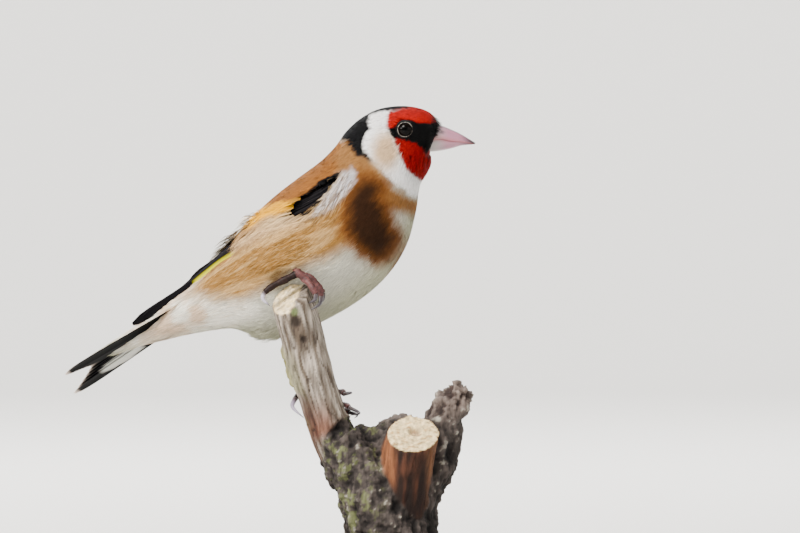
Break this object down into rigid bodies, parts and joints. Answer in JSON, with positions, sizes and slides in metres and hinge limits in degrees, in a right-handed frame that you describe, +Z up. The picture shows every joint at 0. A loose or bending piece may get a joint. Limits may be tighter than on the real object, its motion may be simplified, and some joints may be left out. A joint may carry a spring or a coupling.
{
  "type": "perched finch",
  "caption": "Life-size still model of a small seed-eating finch with folded wings, gripping a cut branch held on a plain round stand.",
  "frame": {"origin": "centre of the stand base's underside", "axes": "+Z is up. +X is the way the bill points. +Y leads away from the side that the picture shows."},
  "size_m": [0.1221, 0.092, 0.1352],
  "materials": {
    "body_feather": "soft body feathers",
    "flight_feather": "stiff vanes",
    "eye": "wet gloss",
    "horn": "satin horn",
    "leg_skin": "fine scales",
    "perch_wood": "weathered, bark and lichen in places",
    "stand_paint": "satin paint"
  },
  "bodies": {
    "root": {"torso": "body_feather", "neck": "body_feather", "head": "body_feather", "wing_right": "flight_feather", "wing_left": "flight_feather", "tail": "flight_feather", "eye_right": "eye", "eye_left": "eye", "bill_upper": "horn", "bill_lower": "horn", "leg_right": "leg_skin", "leg_left": "leg_skin", "claw_right_1": "horn", "claw_right_2": "horn", "claw_right_3": "horn", "claw_right_4": "horn", "claw_left_1": "horn", "claw_left_2": "horn", "claw_left_3": "horn", "claw_left_4": "horn", "perch_stem": "perch_wood", "perch_knob": "perch_wood", "perch_stub": "perch_wood", "perch_snag": "perch_wood", "stand_rod": "stand_paint", "stand_base": "stand_paint"}
  },
  "joints": []
}
